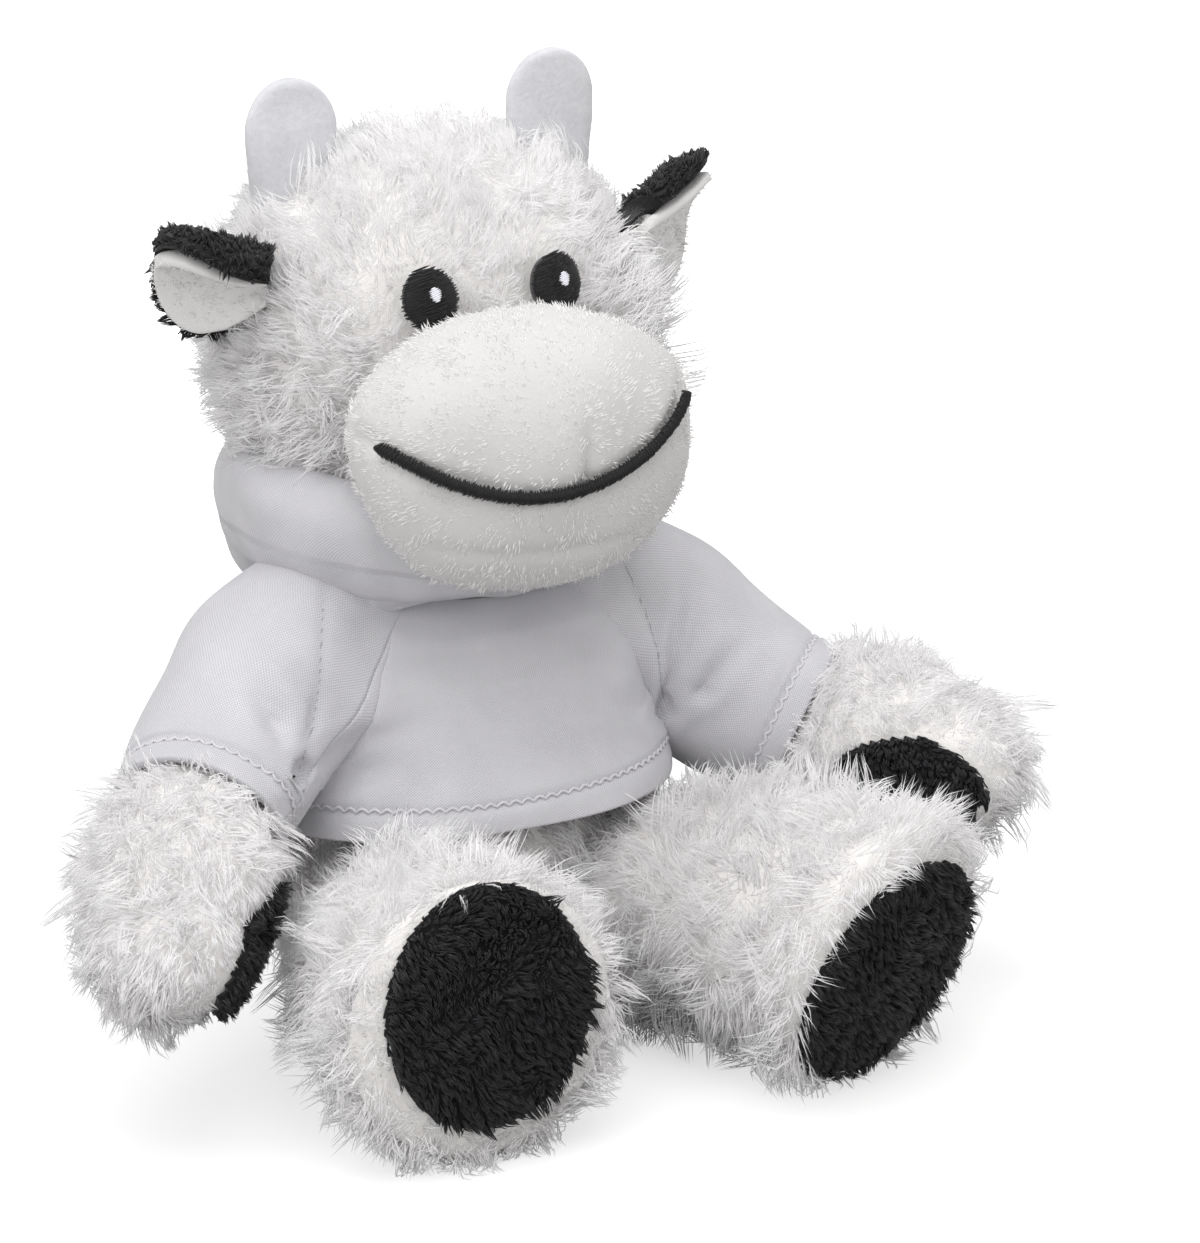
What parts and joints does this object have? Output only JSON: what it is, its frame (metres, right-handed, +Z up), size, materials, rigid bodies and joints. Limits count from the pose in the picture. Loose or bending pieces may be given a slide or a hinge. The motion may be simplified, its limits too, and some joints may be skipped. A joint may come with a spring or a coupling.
{
  "type": "plush cow",
  "caption": "Sitting plush toy cow with stub felt horns, a stuffed snout and black pads, in a short-sleeved knitted hoodie; its sewn limbs, head, ears and tail bend.",
  "frame": {"origin": "the middle of the flat seat, on the floor", "axes": "-Y out of the face, +Z up, the cow's own right side at -X"},
  "size_m": [0.1656, 0.1322, 0.1542],
  "materials": {
    "white_plush": "long white pile on a knitted backing",
    "short_plush": "short dense pile",
    "black_plush": "short black pile",
    "horn_felt": "pale grey felt",
    "hoodie_knit": "fine cool white knit",
    "black_thread": "satin stitches",
    "white_thread": "satin stitches",
    "fibre_filling": "loose fibre",
    "pellet_canvas": "plain weave"
  },
  "bodies": {
    "torso": {"torso_skin": "white_plush", "torso_stuffing": "fibre_filling", "pellet_bag": "pellet_canvas", "hoodie_front": "hoodie_knit", "hoodie_back": "hoodie_knit", "hood": "hoodie_knit"},
    "neck": {"neck_stuffing": "fibre_filling"},
    "head": {"head_skin": "white_plush", "head_stuffing": "fibre_filling", "muzzle_panel": "short_plush", "chin_panel": "short_plush", "muzzle_stuffing": "fibre_filling", "smile_stitch": "black_thread", "right_eye": "black_thread", "right_eye_glint": "white_thread", "left_eye": "black_thread", "left_eye_glint": "white_thread"},
    "right_horn_felt": {"right_horn": "horn_felt"},
    "left_horn_felt": {"left_horn": "horn_felt"},
    "right_ear": {"right_ear_back": "black_plush", "right_ear_lining": "short_plush"},
    "left_ear": {"left_ear_back": "black_plush", "left_ear_lining": "short_plush"},
    "right_arm": {"right_arm_skin": "white_plush", "right_arm_stuffing": "fibre_filling", "right_hand_pad": "black_plush", "right_sleeve": "hoodie_knit"},
    "left_arm": {"left_arm_skin": "white_plush", "left_arm_stuffing": "fibre_filling", "left_hand_pad": "black_plush", "left_sleeve": "hoodie_knit"},
    "right_leg": {"right_leg_skin": "white_plush", "right_leg_stuffing": "fibre_filling", "right_sole": "black_plush"},
    "left_leg": {"left_leg_skin": "white_plush", "left_leg_stuffing": "fibre_filling", "left_sole": "black_plush"},
    "tail": {"tail_cord": "white_plush", "tail_tuft": "black_plush"}
  },
  "joints": [
    {"name": "neck_turn", "type": "hinge", "parent": "torso", "child": "neck", "pos_m": [0, 0.0095, 0.075], "axis": [0, 0, 1], "range_deg": [-12, 12], "stiffness_Nm_per_rad": 0.1},
    {"name": "head_nod", "type": "hinge", "parent": "neck", "child": "head", "pos_m": [0, 0.0095, 0.075], "axis": [1, 0, 0], "range_deg": [-6, 6], "stiffness_Nm_per_rad": 0.2},
    {"name": "right_horn_bend", "type": "hinge", "parent": "head", "child": "right_horn_felt", "pos_m": [-0.0224, 0.0152, 0.14094], "axis": [1, 0, 0], "range_deg": [-12, 12], "stiffness_Nm_per_rad": 0.01},
    {"name": "right_ear_flop", "type": "hinge", "parent": "head", "child": "right_ear", "pos_m": [-0.03406, 0.0052, 0.1271], "axis": [0, 1, 0], "range_deg": [-15, 15], "stiffness_Nm_per_rad": 0.01},
    {"name": "right_shoulder", "type": "hinge", "parent": "torso", "child": "right_arm", "pos_m": [-0.0244, 0.004, 0.0725], "axis": [0, 1, 0], "range_deg": [0, 35], "stiffness_Nm_per_rad": 0.06},
    {"name": "right_hip", "type": "hinge", "parent": "torso", "child": "right_leg", "pos_m": [-0.021, -0.024, 0.03459], "axis": [-1, 0, 0], "range_deg": [0, 12], "stiffness_Nm_per_rad": 0.1},
    {"name": "left_horn_bend", "type": "hinge", "parent": "head", "child": "left_horn_felt", "pos_m": [0.0224, 0.0152, 0.14094], "axis": [1, 0, 0], "range_deg": [-12, 12], "stiffness_Nm_per_rad": 0.01},
    {"name": "left_ear_flop", "type": "hinge", "parent": "head", "child": "left_ear", "pos_m": [0.03406, 0.0052, 0.1271], "axis": [0, -1, 0], "range_deg": [-15, 15], "stiffness_Nm_per_rad": 0.01},
    {"name": "left_shoulder", "type": "hinge", "parent": "torso", "child": "left_arm", "pos_m": [0.0244, 0.004, 0.0725], "axis": [0, -1, 0], "range_deg": [0, 35], "stiffness_Nm_per_rad": 0.06},
    {"name": "left_hip", "type": "hinge", "parent": "torso", "child": "left_leg", "pos_m": [0.021, -0.024, 0.03459], "axis": [-1, 0, 0], "range_deg": [0, 12], "stiffness_Nm_per_rad": 0.1},
    {"name": "tail_swing", "type": "hinge", "parent": "torso", "child": "tail", "pos_m": [0, 0.0299, 0.016], "axis": [1, 0, 0], "range_deg": [0, 45], "stiffness_Nm_per_rad": 0.005}
  ]
}
